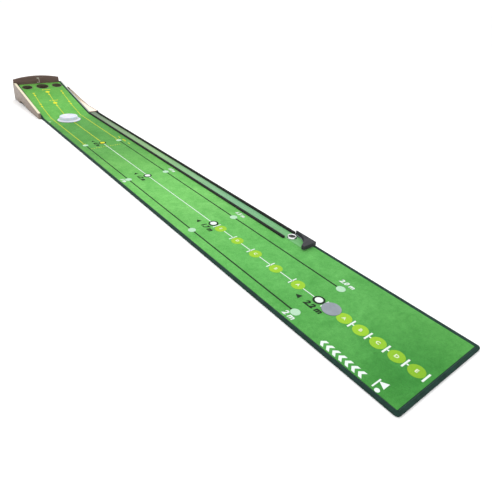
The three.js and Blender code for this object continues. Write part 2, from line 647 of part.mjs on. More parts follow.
const restY = TRACK_END - REST_RING.fromRailEnd;
const ring = add('ball_rest_ring', turned([
  [REST_RING.inner, 0], [REST_RING.outer, 0], [REST_RING.outer, 1.5],
  [REST_RING.outer - 2, REST_RING.height], [REST_RING.inner + 1.5, REST_RING.height],
  [REST_RING.inner, REST_RING.height - 2],
]), STEEL);
ring.position.set(trackMiddle, restY, FILM_TOP + GAP);
const pad = add('ball_rest_pad', rod(REST_RING.inner - GAP, REST_RING.padHeight, 40), RUBBER);
pad.rotation.x = Math.PI / 2;
pad.position.set(trackMiddle, restY, FILM_TOP + GAP + REST_RING.padHeight / 2);

// ---- ball stop: a low block with a hollowed side that catches the ball ----

function stopOutline(inset) {
  const right = OUTER_RAIL_RIGHT - inset;
  const left = OUTER_RAIL_RIGHT - STOP.width + inset;
  const far = TRACK_END - STOP.fromRails - inset;
  const near = TRACK_END - STOP.fromRails - STOP.length + inset;
  const from = new THREE.Vector2(right - STOP.narrow, far);
  const to = new THREE.Vector2(left, near + STOP.tip);
  const middle = from.clone().add(to).multiplyScalar(0.5);
  const square = new THREE.Vector2(to.y - from.y, from.x - to.x).normalize();
  const pull = middle.clone().addScaledVector(square, -2 * STOP.hollow);
  const shape = new THREE.Shape();
  shape.moveTo(left, near);
  shape.lineTo(right, near);
  shape.lineTo(right, far);
  shape.lineTo(from.x, from.y);
  shape.quadraticCurveTo(pull.x, pull.y, to.x, to.y);
  shape.closePath();
  return shape;
}

const stopFoot = BINDING_TOP + 2 * GAP;
add('ball_stop_grip_pad',
  extrude(stopOutline(2), STOP.padThickness).translate(0, 0, stopFoot), GREY_RUBBER);
add('ball_stop',
  extrude(stopOutline(0), STOP.height, 1).translate(0, 0, stopFoot + STOP.padThickness + GAP), CHARCOAL);

// ---- loose pieces on the turf ----

const t = TARGET;
const onTurf = MAT_THICKNESS + GAP;
const target = add('target_cup', turned([
  [t.shoulder - t.wall, 0], [t.brim, 0], [t.brim, t.wall], [t.shoulder + 2, t.wall + 2],
  [t.shoulder, t.height - 3], [t.shoulder - 3, t.height], [t.shoulder - 8, t.height],
  [t.shoulder - 14, t.height - t.dish], [0, t.height - t.dish],
  [0, t.height - t.dish - t.wall], [t.shoulder - 13, t.height - t.dish - t.wall],
  [t.shoulder - t.wall - 4, t.height - t.wall - 2], [t.shoulder - t.wall, t.height - t.wall - 6],
]), FROSTED);
target.position.set(...TARGET_PLACE, onTurf + t.gripHeight + GAP);
const grip = add('target_grip_ring', turned([
  [t.brim - t.gripWidth - 1, 0], [t.brim - 1, 0], [t.brim - 1, t.gripHeight],
  [t.brim - t.gripWidth - 1, t.gripHeight],
]), GREY_RUBBER);
grip.position.set(...TARGET_PLACE, onTurf);

const spot = add('ball_spot_disc', rod(SPOT.radius, SPOT.thickness, 48), GREY_RUBBER);
spot.rotation.x = Math.PI / 2;
spot.position.set(PUTTING_LINE, NEAR_END + SPOT.fromNearEnd, onTurf + SPOT.thickness / 2);

export default mat;
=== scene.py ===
import math

import bpy
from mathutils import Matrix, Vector, noise

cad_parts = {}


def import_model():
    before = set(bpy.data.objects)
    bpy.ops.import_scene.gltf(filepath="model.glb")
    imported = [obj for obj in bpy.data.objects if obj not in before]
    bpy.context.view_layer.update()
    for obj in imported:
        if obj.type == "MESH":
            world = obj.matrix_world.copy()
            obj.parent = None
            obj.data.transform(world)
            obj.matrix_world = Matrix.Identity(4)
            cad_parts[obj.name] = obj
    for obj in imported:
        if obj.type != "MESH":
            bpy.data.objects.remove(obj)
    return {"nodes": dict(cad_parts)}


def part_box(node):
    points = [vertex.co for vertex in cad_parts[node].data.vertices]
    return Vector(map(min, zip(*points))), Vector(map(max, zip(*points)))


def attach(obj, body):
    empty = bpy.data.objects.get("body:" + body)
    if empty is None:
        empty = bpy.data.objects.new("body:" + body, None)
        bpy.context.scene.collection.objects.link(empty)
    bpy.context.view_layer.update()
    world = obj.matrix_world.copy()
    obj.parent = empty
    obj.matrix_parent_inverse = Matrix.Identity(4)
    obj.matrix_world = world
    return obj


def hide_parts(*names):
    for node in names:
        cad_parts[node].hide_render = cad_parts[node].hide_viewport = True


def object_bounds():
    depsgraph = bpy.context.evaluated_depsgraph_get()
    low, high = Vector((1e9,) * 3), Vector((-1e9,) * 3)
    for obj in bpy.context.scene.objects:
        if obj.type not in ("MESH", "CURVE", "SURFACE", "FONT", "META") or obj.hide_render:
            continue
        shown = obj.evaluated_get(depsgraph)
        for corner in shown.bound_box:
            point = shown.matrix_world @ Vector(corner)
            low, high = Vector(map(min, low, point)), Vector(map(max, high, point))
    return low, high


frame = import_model()
cad_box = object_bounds()


# ---- studio ----
# The mat lies on a plain pale floor below soft overhead light. The camera stands to the left
# of the player's end, a little higher than a knee, and looks along the mat to the ramp.

def only(piece):
    bpy.ops.object.select_all(action="DESELECT")
    piece.select_set(True)
    bpy.context.view_layer.objects.active = piece


def shader(name, **values):
    """A new material and its nodes, with plain values on the shader's own sockets."""
    material = bpy.data.materials.new(name)
    material.use_nodes = True
    nodes = material.node_tree.nodes
    surface = nodes["Principled BSDF"]
    for socket, value in values.items():
        surface.inputs[socket.replace("_", " ")].default_value = value
    return material, nodes, material.node_tree.links, surface


def wear(piece, material):
    piece.data.materials.clear()
    piece.data.materials.append(material)


bpy.ops.object.camera_add(
    location=(-0.7299, -1.7128, 0.6936),
    rotation=[math.radians(a) for a in (58.515, -2.6207, -37.345)])
camera = bpy.context.object
camera.data.lens = 30.7
camera.data.clip_start = 0.02
bpy.context.scene.camera = camera
bpy.context.scene.view_settings.view_transform = "Standard"

bpy.ops.object.select_all(action="DESELECT")
bpy.ops.mesh.primitive_circle_add(
    vertices=96, radius=40, fill_type="NGON", location=(0, 0, cad_box[0].z - 0.0004))
floor = bpy.context.object
floor.name = "studio_floor"
floor_paint = shader("studio_floor_paint", Base_Color=(0.96, 0.96, 0.96, 1), Roughness=0.9)[0]
wear(floor, floor_paint)

air = bpy.data.worlds.new("studio_air")
air.use_nodes = True
air.node_tree.nodes["Background"].inputs["Color"].default_value = (1, 1, 1, 1)
air.node_tree.nodes["Background"].inputs["Strength"].default_value = 1.06
bpy.context.scene.world = air

for place, size, power in (((1.0, 1.4, 3.4), 3.2, 62), ((-1.6, -1.2, 3.0), 3.0, 22)):
    bpy.ops.object.light_add(type="AREA", location=place)
    softbox = bpy.context.object
    softbox.data.size = size
    softbox.data.energy = power
    softbox.rotation_euler = Vector(place).to_track_quat("Z", "Y").to_euler()


# ---- turf ----
# One length of short knitted pile, cut round the three cup holes. It lies flat on the floor,
# bends up at the fold and is held on the ramp's deck by hook tape.

RAMP_TILT = math.radians(10.5)
FOLD_RADIUS = 0.12
PILE_DEPTH = 0.003

floor_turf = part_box("putting_turf")
ramp_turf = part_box("ramp_turf")
track_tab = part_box("track_film")
pile_top = floor_turf[1].z
fold = ramp_turf[1].y - (ramp_turf[1].z - pile_top) / math.tan(RAMP_TILT)
fold_start = fold - FOLD_RADIUS * math.tan(RAMP_TILT / 2)
fold_arc = FOLD_RADIUS * RAMP_TILT
tab_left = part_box("chute_inner_wall")[0].x


def climb(along, lift):
    """Where a point of the flat mat comes to lie, at its height over the pile's top."""
    tilt = min(max((along - fold_start) / FOLD_RADIUS, 0), RAMP_TILT)
    radius = FOLD_RADIUS - lift
    rest = max(along - fold_start - fold_arc, 0)
    return (
        min(along, fold_start) + radius * math.sin(tilt) + rest * math.cos(tilt),
        pile_top + FOLD_RADIUS - radius * math.cos(tilt) + rest * math.sin(tilt))


def flat_place(y):
    """How far along the flat mat a point lies that ends up at y on the ramp."""
    beyond = y - fold_start - FOLD_RADIUS * math.sin(RAMP_TILT)
    return fold_start + fold_arc + beyond / math.cos(RAMP_TILT)


def lay_on_mat(piece):
    """Bends a piece that was drawn flat, with z as its height over the pile, up the ramp."""
    for vertex in piece.data.vertices:
        if vertex.co.x < tab_left:
            vertex.co.y, vertex.co.z = climb(vertex.co.y, vertex.co.z)
        else:
            vertex.co.z += pile_top
    piece.data.update()


def settle(piece, name):
    """Names a piece and moves its place and size into its mesh."""
    only(piece)
    bpy.ops.object.transform_apply(location=True, rotation=True, scale=True)
    piece.name = name
    piece.data.name = name
    return piece


def apply(piece, kind, **settings):
    only(piece)
    modifier = piece.modifiers.new(kind.lower(), kind)
    for key, value in settings.items():
        setattr(modifier, key, value)
    bpy.ops.object.modifier_apply(modifier=modifier.name)


def pick(piece, test, kind="FACE"):
    """Goes to edit mode with the faces, edges or corners selected whose middle passes."""
    only(piece)
    bpy.ops.object.mode_set(mode="EDIT")
    bpy.ops.mesh.select_mode(type=kind)
    bpy.ops.mesh.select_all(action="DESELECT")
    bpy.ops.object.mode_set(mode="OBJECT")
    mesh = piece.data
    if kind == "FACE":
        for face in mesh.polygons:
            face.select = test(face.center, face.normal)
    elif kind == "EDGE":
        for edge in mesh.edges:
            a, b = (mesh.vertices[i].co for i in edge.vertices)
            edge.select = test((a + b) / 2, b - a)
    else:
        for corner in mesh.vertices:
            corner.select = test(corner.co, corner.normal)
    bpy.ops.object.mode_set(mode="EDIT")


def leave():
    bpy.ops.object.mode_set(mode="OBJECT")


def outward(piece, angle=30):
    """Merges doubles, turns the faces out and shades it smooth up to an angle."""
    only(piece)
    bpy.ops.object.mode_set(mode="EDIT")
    bpy.ops.mesh.select_all(action="SELECT")
    bpy.ops.mesh.remove_doubles(threshold=0.00001)
    bpy.ops.mesh.normals_make_consistent(inside=False)
    leave()
    bpy.ops.object.shade_smooth_by_angle(angle=math.radians(angle))


def join_up(pieces, name):
    only(pieces[0])
    for other in pieces[1:]:
        other.select_set(True)
    bpy.ops.object.join()
    return settle(bpy.context.object, name)


def done(piece, material, body="base", stands_for=()):
    wear(piece, material)
    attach(piece, body)
    if stands_for:
        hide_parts(*stands_for)
    return piece


def texture(nodes, kind, **values):
    node = nodes.new(kind)
    for socket, value in values.items():
        if socket in node.inputs:
            node.inputs[socket].default_value = value
        else:
            setattr(node, socket, value)
    return node


def mapped(nodes, links, scale=(1, 1, 1), turn=(0, 0, 0)):
    """Object coordinates, stretched and turned for one pattern."""
    coordinates = nodes.new("ShaderNodeTexCoord")
    mapping = texture(nodes, "ShaderNodeMapping", Scale=scale, Rotation=turn)
    links.new(coordinates.outputs["Object"], mapping.inputs["Vector"])
    return mapping.outputs["Vector"]


def speckle(nodes, links, vector, scale, detail=2.0, roughness=0.5, distortion=0.0):
    cloud = texture(nodes, "ShaderNodeTexNoise", Scale=scale, Detail=detail,
                    Roughness=roughness, Distortion=distortion)
    links.new(vector, cloud.inputs["Vector"])
    return cloud.outputs["Fac"]


def ramp(nodes, links, source, *stops):
    band = nodes.new("ShaderNodeValToRGB")
    while len(band.color_ramp.elements) < len(stops):
        band.color_ramp.elements.new(0.5)
    for element, (place, colour) in zip(band.color_ramp.elements, stops):
        element.position = place
        element.color = (*colour, 1)
    links.new(source, band.inputs["Fac"])
    return band.outputs["Color"]


def blend_colours(nodes, links, share, first, second, way="MIX"):
    mix = texture(nodes, "ShaderNodeMix", data_type="RGBA", blend_type=way)
    for socket, value in ((mix.inputs[0], share), (mix.inputs[6], first), (mix.inputs[7], second)):
        if hasattr(value, "node"):
            links.new(value, socket)
        else:
            socket.default_value = value if isinstance(value, float) else (*value, 1)
    return mix.outputs[2]


def bump(nodes, links, surface, height, strength, distance):
    relief = texture(nodes, "ShaderNodeBump", Strength=strength, Distance=distance)
    links.new(height, relief.inputs["Height"])
    if surface.inputs["Normal"].is_linked:
        links.new(surface.inputs["Normal"].links[0].from_socket, relief.inputs["Normal"])
    links.new(relief.outputs["Normal"], surface.inputs["Normal"])


# painted light and shade along the mat, lighter and darker by turns: a place in metres and a colour
# share
PILE_LIGHT_AND_SHADE = (
    (-1.45, (0.47, 0.57, 0.48)), (-1.25, (0.54, 0.62, 0.58)), (-1.00, (0.63, 0.70, 0.68)),
    (-0.85, (0.70, 0.75, 0.73)), (-0.55, (0.92, 0.83, 0.87)), (-0.40, (1.00, 0.89, 0.92)),
    (-0.25, (0.90, 0.83, 0.83)), (0.00, (0.79, 0.72, 0.65)), (0.20, (0.60, 0.59, 0.51)),
    (0.45, (0.45, 0.50, 0.36)), (0.75, (0.47, 0.51, 0.38)), (0.93, (0.72, 0.71, 0.56)),
    (1.08, (0.76, 0.73, 0.58)), (1.40, (0.63, 0.57, 0.38)))
# the middle of the painted shade patch at the near end
NEAR_END_SHADE_SPOT = (-0.055, -1.455, 0)


def share(nodes, links, value, low, high):
    """Where a value lies between two others, as 0 to 1."""
    node = nodes.new("ShaderNodeMapRange")
    node.inputs["From Min"].default_value = low
    node.inputs["From Max"].default_value = high
    links.new(value, node.inputs["Value"])
    return node.outputs["Result"]


def pile(name, shade, light):
    """Short pile in one colour: cloudy where it lies differently, speckled by its tips, with painted
    light and shade along the mat.
    """
    material, nodes, links, surface = shader(
        name, Roughness=0.93, Sheen_Weight=0.05, Specular_IOR_Level=0.25)
    vector = mapped(nodes, links)
    clouds = speckle(nodes, links, vector, 11.0, 6.0, 0.68, 0.7)
    clumps = speckle(nodes, links, vector, 95.0, 4.0, 0.72)
    tips = speckle(nodes, links, vector, 620.0, 2.0, 0.7)
    middle = [(a + b) / 2 for a, b in zip(shade, light)]
    colour = ramp(nodes, links, clouds, (0.3, shade), (0.5, middle), (0.7, light))
    parts = nodes.new("ShaderNodeSeparateXYZ")
    links.new(vector, parts.inputs["Vector"])
    start, length = PILE_LIGHT_AND_SHADE[0][0], PILE_LIGHT_AND_SHADE[-1][0] - PILE_LIGHT_AND_SHADE[0][0]
    # painted light and shade along the mat's length, multiplied into the pile's colour
    painted_light = ramp(nodes, links, share(nodes, links, parts.outputs["Y"], start, start + length),
               *[((place - start) / length, tint) for place, tint in PILE_LIGHT_AND_SHADE])
    colour = blend_colours(nodes, links, 1.0, colour, painted_light, "MULTIPLY")
    # painted shade in a round patch at the near end
    near_end_shade = texture(nodes, "ShaderNodeVectorMath", operation="DISTANCE")
    links.new(vector, near_end_shade.inputs[0])
    near_end_shade.inputs[1].default_value = NEAR_END_SHADE_SPOT
    spot_shade = ramp(nodes, links, share(nodes, links, near_end_shade.outputs["Value"], 0.02, 0.20),
                 (0.0, (0.52, 0.74, 0.62)), (1.0, (1, 1, 1)))
    colour = blend_colours(nodes, links, 1.0, colour, spot_shade, "MULTIPLY")
    fine = ramp(nodes, links, tips, (0.32, (0.62,) * 3), (0.62, (1.0,) * 3))
    tufts = ramp(nodes, links, clumps, (0.34, (0.70, 0.80, 0.72)), (0.62, (1.0,) * 3))
    colour = blend_colours(nodes, links, 0.7, colour, fine, "MULTIPLY")
    colour = blend_colours(nodes, links, 0.75, colour, tufts, "MULTIPLY")
    links.new(colour, surface.inputs["Base Color"])
    bump(nodes, links, surface, tips, 0.55, 0.0012)
    bump(nodes, links, surface, clumps, 0.35, 0.0016)
    return material


turf_end = flat_place(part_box("hole_turf")[1].y)
turf_size = (floor_turf[1].x - ramp_turf[0].x, turf_end - floor_turf[0].y)
bpy.ops.object.select_all(action="DESELECT")
bpy.ops.mesh.primitive_grid_add(
    x_subdivisions=34, y_subdivisions=330, size=1,
    location=((ramp_turf[0].x + floor_turf[1].x) / 2, (floor_turf[0].y + turf_end) / 2, 0))
turf = bpy.context.object
turf.scale = (*turf_size, 1)
settle(turf, "turf_sheet")
cuts = [
    ((ramp_turf[1].x, 0, 0), (1, 0, 0)), ((tab_left, 0, 0), (1, 0, 0)),
    ((0, fold_start, 0), (0, 1, 0)), ((0, track_tab[1].y, 0), (0, 1, 0))]
for place, normal in cuts:
    pick(turf, lambda centre, normal: True)
    bpy.ops.mesh.bisect(plane_co=place, plane_no=normal)
    leave()


def off_the_mat(centre, normal):
    if centre.y < fold_start or centre.x < ramp_turf[1].x:
        return False
    return centre.x < tab_left or centre.y > track_tab[1].y


pick(turf, off_the_mat)
bpy.ops.mesh.delete(type="FACE")
leave()
apply(turf, "SOLIDIFY", thickness=PILE_DEPTH, offset=-1)

cups = [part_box(f"{side}_cup_ring") for side in ("left", "centre", "right")]
cup_places = [((low + high) / 2).xy for low, high in cups]
RING_FLANGE = 0.0012
for (low, high), place in zip(cups, cup_places):
    hole = (high.x - low.x) / 2 - RING_FLANGE + 0.0002
    bpy.ops.object.select_all(action="DESELECT")
    ring_top = flat_place(high.y) - (high.x - low.x) / 2
    bpy.ops.mesh.primitive_cylinder_add(
        vertices=96, radius=hole, depth=0.05, location=(place.x, ring_top, 0))
    punch = bpy.context.object
    apply(turf, "BOOLEAN", object=punch, operation="DIFFERENCE", solver="EXACT")
    bpy.data.objects.remove(punch)

# the bake's map: the pile's upper side in three rows of a metre, its underside beside them
rows = 3
ROW_STEP, ROW_FILL, MAP_MARGIN = 0.322, 0.96, 0.004
row_length = turf_size[1] / rows
turf_map = turf.data.uv_layers.new(name="OFBake")
for face in turf.data.polygons:
    row = min(int((face.center.y - floor_turf[0].y) / row_length), rows - 1)
    upper = face.normal.z > 0.5
    for loop in face.loop_indices:
        corner = turf.data.vertices[turf.data.loops[loop].vertex_index].co
        along = corner.y - floor_turf[0].y
        across = corner.x - ramp_turf[0].x
        if upper:
            spot = ((along - row * row_length) / row_length, across / row_length)
            turf_map.data[loop].uv = (
                MAP_MARGIN + ROW_FILL * spot[0], MAP_MARGIN + row * ROW_STEP + ROW_FILL * spot[1])
        else:
            turf_map.data[loop].uv = (along / turf_size[1], 0.975 + 0.02 * across / turf_size[0])
lay_on_mat(turf)
only(turf)
bpy.ops.object.shade_smooth_by_angle(angle=math.radians(35))

GREEN_SHADE = (0.125, 0.520, 0.095)
GREEN_LIGHT = (0.215, 0.690, 0.160)
GREEN_TIPS = (0.150, 0.455, 0.108)
done(turf, pile("green_pile", GREEN_SHADE, GREEN_LIGHT),
     stands_for=("putting_turf", "ramp_turf", "hole_turf"))


# ---- printed marks ----
# The aiming lines, discs, ticks, distances and letters are printed into the pile in white,
# black, yellow and lime ink. Each colour is one thin layer that follows the mat up the ramp.

spot_low, spot_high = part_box("ball_spot_disc")
line_x, spot_y = ((spot_low + spot_high) / 2).xy
target_y = spot_y + 2.044
SIDE_LINE = 0.085
INK_SUNK = 0.0006
MARK_LIFT = {"line": 0.00035, "disc": 0.0005, "letter": 0.0008}


def before(distance):
    """The place along the mat that lies this far before the target, towards the player."""
    return target_y - distance


def disc(x, y, radius, height, corners=40):
    bpy.ops.object.select_all(action="DESELECT")
    bpy.ops.mesh.primitive_circle_add(
        vertices=corners, radius=radius, fill_type="NGON", location=(line_x + x, y, height))
    return bpy.context.object


def bar(x, y, width, length, height, steps=1):
    bpy.ops.object.select_all(action="DESELECT")
    bpy.ops.mesh.primitive_grid_add(
        x_subdivisions=1, y_subdivisions=steps, size=1, location=(line_x + x, y, height))
    bpy.context.object.scale = (width, length, 1)
    return bpy.context.object


def long_bar(x, start, end, width, height):
    length = abs(end - start)
    return bar(x, (start + end) / 2, width, length, height, max(1, int(length / 0.01)))


def lettering(words, x, y, capital, height, slant=0.2, weight=0.05):
    """Words that run towards the player, with their feet to the left."""
    bpy.ops.object.select_all(action="DESELECT")
    bpy.ops.object.text_add(location=(line_x + x, y, height), rotation=(0, 0, -math.pi / 2))
    label = bpy.context.object
    label.data.body = words
    label.data.size = capital / 0.69
    label.data.shear = slant
    label.data.offset = capital * weight
    label.data.resolution_u = 3
    label.data.align_x = "CENTER"
    bpy.ops.object.convert(target="MESH")
    return bpy.context.object


def chevron(x, y, width, length, slope, height):
    bpy.ops.object.select_all(action="DESELECT")
    bpy.ops.mesh.primitive_grid_add(
        x_subdivisions=2, y_subdivisions=1, size=1, location=(line_x + x, y, height))
    arrow = bpy.context.object
    arrow.scale = (width, length, 1)
    settle(arrow, "chevron")
    pick(arrow, lambda place, normal: abs(place.x - line_x - x) < width / 4, "VERT")
    bpy.ops.transform.translate(value=(0, slope, 0))
    leave()
    return arrow


def print_layer(pieces, name, material):
    layer = join_up(pieces, name)
    apply(layer, "SOLIDIFY", thickness=INK_SUNK, offset=-1)
    apply(layer, "TRIANGULATE", min_vertices=5)
    lay_on_mat(layer)
    return done(layer, material)


def ink(name, colour, strength=0.9, near_end_shade=False):
    """Ink on pile: its colour, thinned where the green tips show, with painted shade at the near end
    where asked.
    """
    material, nodes, links, surface = shader(name, Roughness=0.92, Specular_IOR_Level=0.15)
    vector = mapped(nodes, links)
    tips = speckle(nodes, links, vector, 700.0, 2.0, 0.7)
    body = ramp(nodes, links, tips, (0.3, [c * 0.8 for c in colour]), (0.6, colour))
    if near_end_shade:
        # painted shade: the ink darkens towards the near end of the mat
        parts = nodes.new("ShaderNodeSeparateXYZ")
        links.new(vector, parts.inputs["Vector"])
        end_shade = ramp(nodes, links, share(nodes, links, parts.outputs["Y"], before(2.34), before(2.15)),
                    (0.0, (0.66, 0.74, 0.60)), (1.0, (1, 1, 1)))
        body = blend_colours(nodes, links, 1.0, body, end_shade, "MULTIPLY")
    worn = speckle(nodes, links, vector, 320.0, 3.0, 0.75)
    thin = ramp(nodes, links, worn, (0.28, (1 - strength + 0.12,) * 3), (0.4, (1 - strength,) * 3))
    links.new(blend_colours(nodes, links, thin, body, GREEN_TIPS), surface.inputs["Base Color"])
    bump(nodes, links, surface, tips, 0.5, 0.001)
    return material


LINE, DISC, LETTER = (MARK_LIFT[kind] for kind in ("line", "disc", "letter"))
half_metres = (2.0, 1.5, 1.0)
far_letters = [1.920, 1.826, 1.731, 1.638, 1.544]
near_letters = [2.087 + 0.0515 * i for i in range(5)]
TICK = 0.0235

white = [long_bar(0, before(1.985), before(0.52), 0.0026, LINE)]
white += [bar(0, before(u - TICK), 0.032, 0.0036, LINE) for u in far_letters]
white += [bar(0, before(u + TICK), 0.032, 0.0046, LINE) for u in near_letters]
white += [bar(0, before(u + 0.030), 0.0036, 0.010, LINE) for u in near_letters[:-1]]
white += [bar(0, before(2.020), 0.032, 0.0036, LINE)]
white += [disc(0, before(u), 0.0112, LETTER) for u in half_metres]
white += [lettering(words, 0.110, before(u - 0.004), 0.0150, LINE, weight=0.06)
          for words, u in (("2.0 m", 2.0), ("1.5 m", 1.5), ("1.0 m", 1.0))]
white += [lettering(words, -0.113, before(u - 0.002), 0.0165, LINE, weight=0.06)
          for words, u in (("2 m", 2.0), ("1 m", 1.0))]
white += [chevron(-0.106, before(2.121 + 0.0185 * i), 0.021, 0.0090, 0.008, LINE) for i in range(7)]
white += [bar(-0.114, before(0.010), 0.011, 0.006, LINE)]
# the plain flag at the player's left: a pole, a pennant and the hole's rim
white += [bar(-0.0985, before(2.262), 0.030, 0.0035, LINE),
          disc(-0.1135, before(2.275), 0.006, LINE, 24),
          disc(-0.0905, before(2.276), 0.0125, LINE, 3)]
print_layer(white, "white_marks", ink("white_ink", (0.76, 0.82, 0.80), 0.95))

black = [disc(0, before(u), 0.0172, DISC) for u in (*half_metres, 0.5)]
black += [long_bar(side * SIDE_LINE, before(2.0), before(0.5), 0.0047, LINE) for side in (-1, 1)]
black += [lettering(words, -0.041, before(u + 0.010), 0.0175, LINE, weight=0.075)
          for words, u in (("2.2 m", 2.0), ("1.7 m", 1.5), ("1.2 m", 1.0), ("0.7 m", 0.5))]
for u in (*half_metres, 0.5):
    black.append(disc(-0.0325, before(u - 0.043), 0.0110, LINE, 3))
print_layer(black, "black_marks", ink("black_ink", (0.010, 0.018, 0.012), 0.97))

lime = [disc(0, before(u), 0.0200, DISC - 0.0001) for u in (*far_letters, *near_letters)]
# the lime discs take the painted shade at the near end
print_layer(lime, "lime_discs", ink("lime_ink", (0.300, 0.540, 0.030), 0.94, near_end_shade=True))

pale = [disc(side * SIDE_LINE, before(u), 0.0132, DISC)
        for side in (-1, 1) for u in (*half_metres, 0.5)]
print_layer(pale, "pale_discs", ink("pale_ink", (0.45, 0.66, 0.50), 0.9))

letters = [lettering(letter, -0.0045, before(u), 0.0100, LETTER, 0.0, 0.07)
           for places in (far_letters, near_letters) for letter, u in zip("ABCDE", places)]
print_layer(letters, "letter_marks", ink("letter_ink", (0.74, 0.82, 0.56), 0.9))

# on the ramp, distances run up it from the fold, and the marks lean a little to the right
side_dots = (0.368, 0.333, 0.197, 0.163)
high_mark, low_mark = 0.372, 0.1975
yellow = [long_bar(0, before(0.47), fold + high_mark, 0.0026, LINE)]
for side in (-1, 1):
    yellow.append(long_bar(side * SIDE_LINE, before(0.47), fold + side_dots[0], 0.0025, LINE))
    yellow += [disc(side * SIDE_LINE, fold + up, 0.0062, DISC, 20) for up in side_dots]
    yellow.append(chevron(side * SIDE_LINE, before(0.478), 0.016, 0.004, -0.007, LINE))
for mark in (high_mark, low_mark):
    yellow += [disc(0, fold + mark, 0.0125, DISC, 32), disc(0, fold + mark - 0.040, 0.0062, DISC, 20),
               bar(0.009, fold + mark + 0.038, 0.036, 0.0050, LINE),
               disc(-0.020, fold + mark + 0.038, 0.0045, DISC, 16)]
yellow += [disc(0, before(0.5), 0.0118, LETTER)]
yellow += [bar(-0.076 + 0.0117 * i, before(0.561), 0.0058, 0.0032, LINE) for i in range(13)]
yellow += [lettering("0.5 m", 0.104, before(0.512), 0.0110, LINE)]
yellow += [bar(0.108, before(u), 0.0032, 0.022, LINE) for u in (0.452, 0.570)]
LEAN, LEAN_FROM = 0.052, 0.145
for mark in yellow:
    settle(mark, "yellow_mark")
    for corner in mark.data.vertices:
        corner.co.x += LEAN * max(corner.co.y - fold - LEAN_FROM, 0)
print_layer(yellow, "yellow_marks", ink("yellow_ink", (0.70, 0.66, 0.030), 0.95))


# ---- edge bindings ----
# A dark green woven tape folded over the mat's edge and sewn through with one row of stitches.
# Separate lengths of the same tape finish the turf's two edges up the ramp.

def tape(name):
    material, nodes, links, surface = shader(name, Roughness=0.85, Specular_IOR_Level=0.2)
    vector = mapped(nodes, links)
    weft = texture(nodes, "ShaderNodeTexWave", bands_direction="DIAGONAL", Scale=190.0,
                   Distortion=0.6, Detail=1.0)
    warp = texture(nodes, "ShaderNodeTexWave", bands_direction="X", Scale=260.0, Distortion=0.3)
    for weave in (weft, warp):
        links.new(vector, weave.inputs["Vector"])
    lint = speckle(nodes, links, vector, 60.0, 4.0, 0.6)
    dyed = ramp(nodes, links, lint, (0.3, (0.006, 0.024, 0.018)), (0.7, (0.012, 0.042, 0.032)))
    thread = ramp(nodes, links, weft.outputs["Fac"], (0.1, (0.7,) * 3), (0.8, (1.15,) * 3))
    links.new(blend_colours(nodes, links, 0.7, dyed, thread, "MULTIPLY"), surface.inputs["Base Color"])
    bump(nodes, links, surface, weft.outputs["Fac"], 0.35, 0.0004)
    bump(nodes, links, surface, warp.outputs["Fac"], 0.2, 0.0003)
    return material


BINDING_WIDTH = 0.011
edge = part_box("edge_binding")
edge_middle_x = (edge[0].x + edge[1].x) / 2
tape_cloth = tape("binding_tape_cloth")
bpy.ops.object.select_all(action="DESELECT")
bpy.ops.mesh.primitive_plane_add(
    size=1, location=(edge_middle_x, (edge[0].y + edge[1].y) / 2, 0))
binding = bpy.context.object
binding.scale = (edge[1].x - edge[0].x, edge[1].y - edge[0].y, 1)
settle(binding, "mat_binding")
pick(binding, lambda centre, normal: True)
bpy.ops.mesh.inset(thickness=BINDING_WIDTH, use_even_offset=True)
bpy.ops.mesh.delete(type="FACE")
leave()
pick(binding, lambda centre, normal: centre.y > edge[1].y - BINDING_WIDTH)
bpy.ops.mesh.delete(type="FACE")
leave()
# both legs run on square to their ends
for side, end in ((0, fold_start - 0.0003), (1, edge[1].y)):
    pick(binding, lambda place, normal: place.y > 0 and (place.x > edge_middle_x) == bool(side),
         "VERT")
    leave()
    for corner in binding.data.vertices:
        if corner.select:
            corner.co.y = end
pick(binding, lambda centre, normal: True)
bpy.ops.mesh.extrude_region_move(TRANSFORM_OT_translate={"value": (0, 0, edge[1].z - 0.0001)})
leave()
outward(binding)
pick(binding, lambda middle, along: abs(along.z) > 0.004 and middle.y < edge[0].y + 0.001, "EDGE")
bpy.ops.mesh.bevel(offset=0.0095, segments=8, affect="EDGES")
leave()
apply(binding, "BEVEL", width=0.0018, segments=4, limit_method="ANGLE",
      angle_limit=math.radians(50), use_clamp_overlap=True)
for step in range(1, 60):
    pick(binding, lambda centre, normal: True)
    bpy.ops.mesh.bisect(plane_co=(0, edge[0].y + 0.02 + 0.041 * step, 0), plane_no=(0, 1, 0))
    leave()
outward(binding, 40)
for corner in binding.data.vertices:
    if corner.co.z > 0.004:
        corner.co.z -= 0.0003 * abs(noise.noise(corner.co * 9))
done(binding, tape_cloth, stands_for=("edge_binding",))


def ramp_tape(node, name):
    """A straight length of the same tape up one edge of the ramp's turf."""
    low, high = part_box(node)
    end = flat_place(high.y)
    bpy.ops.object.select_all(action="DESELECT")
    bpy.ops.mesh.primitive_cube_add(
        size=1, location=((low.x + high.x) / 2, (fold_start + end) / 2, -0.0025))
    strip = bpy.context.object
    strip.scale = (high.x - low.x, end - fold_start, 0.0070)
    settle(strip, name)
    pick(strip, lambda middle, along: abs(along.y) > 0.1 and middle.z > 0, "EDGE")
    bpy.ops.mesh.bevel(offset=0.0018, segments=4, affect="EDGES")
    leave()
    for step in range(1, 56):
        pick(strip, lambda centre, normal: True)
        bpy.ops.mesh.bisect(plane_co=(0, fold_start + 0.0098 * step, 0), plane_no=(0, 1, 0))
        leave()
    for corner in strip.data.vertices:
        corner.co.z -= 0.0002 * abs(noise.noise(corner.co * 9))
    lay_on_mat(strip)
    outward(strip, 40)
    done(strip, tape_cloth, stands_for=(node,))
    return (low.x + high.x) / 2, end


right_tape_x, right_tape_end = ramp_tape("ramp_edge_binding", "ramp_right_tape")
left_tape_x, left_tape_end = ramp_tape("ramp_left_binding", "ramp_left_tape")


STITCH_PITCH = 0.005
STITCH_LENGTH = 0.0034
STITCH_WIDTH = 0.0008
STITCH_HEIGHT = 0.0007


